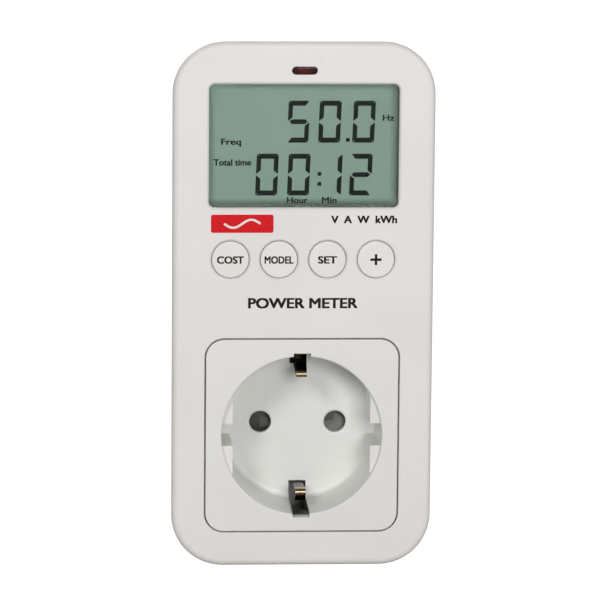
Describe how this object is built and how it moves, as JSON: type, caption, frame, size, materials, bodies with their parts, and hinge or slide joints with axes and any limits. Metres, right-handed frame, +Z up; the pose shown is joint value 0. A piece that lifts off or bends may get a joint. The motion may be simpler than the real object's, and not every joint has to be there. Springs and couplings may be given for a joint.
{
  "type": "plug-in power meter",
  "caption": "Plug-in power meter: upright rounded case with a display, round keys and an earthed round-pin socket in front, and the matching plug at the back.",
  "frame": {"origin": "middle of the plug's end face, halfway between its two pins", "axes": "+Z up as plugged into a wall, +Y out of the plug towards the wall, +X to the right as seen from the front"},
  "size_m": [0.065, 0.074, 0.132],
  "materials": {
    "case_plastic": "fine-textured off-white ABS",
    "insert_plastic": "smooth off-white thermoset",
    "button_plastic": "smooth off-white",
    "shutter_plastic": "smooth off-white",
    "inner_plastic": "plain moulded",
    "plunger_plastic": "plain moulded",
    "black_plastic": "moulded black",
    "clear_window": "clear moulded acrylic",
    "lcd_cell": "grey-green liquid crystal cell",
    "red_lens": "clear dark red",
    "red_led": "diffuse red epoxy",
    "contact_brass": "stamped brass",
    "plated_metal": "nickel plated",
    "spring_steel": "bare spring wire",
    "shunt_alloy": "manganin strip",
    "screw_steel": "zinc plated",
    "lead_brown": "brown insulation",
    "lead_blue": "blue insulation",
    "zebra_rubber": "layered conductive rubber",
    "board_green": "solder resist on glass fibre board",
    "capacitor_yellow": "moulded box",
    "can_sleeve": "shrunk sleeve",
    "varistor_blue": "dipped epoxy",
    "fuse_ceramic": "plain",
    "label_foil": "blank silver-grey film"
  },
  "bodies": {
    "meter": {"backup_battery": "plated_metal", "board_header": "black_plastic", "carrier_screws": "screw_steel", "case_screws": "screw_steel", "contact_carrier": "inner_plastic", "cost_switch": "black_plastic", "crystal": "plated_metal", "current_shunt": "shunt_alloy", "display_board": "board_green", "display_board_screws": "screw_steel", "dropper_capacitor": "capacitor_yellow", "earth_clip_bottom": "contact_brass", "earth_clip_top": "contact_brass", "earth_ring": "contact_brass", "front_cover": "case_plastic", "fuse": "fuse_ceramic", "lcd_glass": "lcd_cell", "lcd_holder": "inner_plastic", "lcd_window": "clear_window", "led_window": "red_lens", "line_contact": "contact_brass", "line_lead": "lead_brown", "line_plug_pin": "plated_metal", "metering_chip": "black_plastic", "microcontroller": "black_plastic", "model_switch": "black_plastic", "neutral_busbar": "contact_brass", "neutral_contact": "contact_brass", "neutral_lead": "lead_blue", "neutral_plug_pin": "plated_metal", "pin_carrier": "inner_plastic", "plug_body": "case_plastic", "plug_earth_strip_bottom": "plated_metal", "plug_earth_strip_top": "plated_metal", "plus_switch": "black_plastic", "power_board": "board_green", "power_board_screws": "screw_steel", "rating_label": "label_foil", "rear_cover": "case_plastic", "rectifier": "black_plastic", "set_switch": "black_plastic", "shutter_spring": "spring_steel", "smoothing_capacitor": "can_sleeve", "socket_insert": "insert_plastic", "status_led": "red_led", "varistor": "varistor_blue", "zebra_strips": "zebra_rubber"},
    "shutter": {"shutter": "shutter_plastic"},
    "cost_key": {"cost_button": "button_plastic", "cost_switch_plunger": "plunger_plastic"},
    "model_key": {"model_button": "button_plastic", "model_switch_plunger": "plunger_plastic"},
    "set_key": {"set_button": "button_plastic", "set_switch_plunger": "plunger_plastic"},
    "plus_key": {"plus_button": "button_plastic", "plus_switch_plunger": "plunger_plastic"}
  },
  "joints": [
    {"name": "cost_key_press", "type": "slide", "parent": "meter", "child": "cost_key", "axis": [0, 1, 0], "range_m": [0, 0.0005], "stiffness_N_per_m": 2000, "springref_m": -0.0005},
    {"name": "model_key_press", "type": "slide", "parent": "meter", "child": "model_key", "axis": [0, 1, 0], "range_m": [0, 0.0005], "stiffness_N_per_m": 2000, "springref_m": -0.0005},
    {"name": "set_key_press", "type": "slide", "parent": "meter", "child": "set_key", "axis": [0, 1, 0], "range_m": [0, 0.0005], "stiffness_N_per_m": 2000, "springref_m": -0.0005},
    {"name": "plus_key_press", "type": "slide", "parent": "meter", "child": "plus_key", "axis": [0, 1, 0], "range_m": [0, 0.0005], "stiffness_N_per_m": 2000, "springref_m": -0.0005},
    {"name": "shutter_turn", "type": "hinge", "parent": "meter", "child": "shutter", "pos_m": [0, -0.0333, 0], "axis": [0, 1, 0], "range_deg": [0, 40], "stiffness_Nm_per_rad": 0.02, "springref_deg": -17.19}
  ]
}
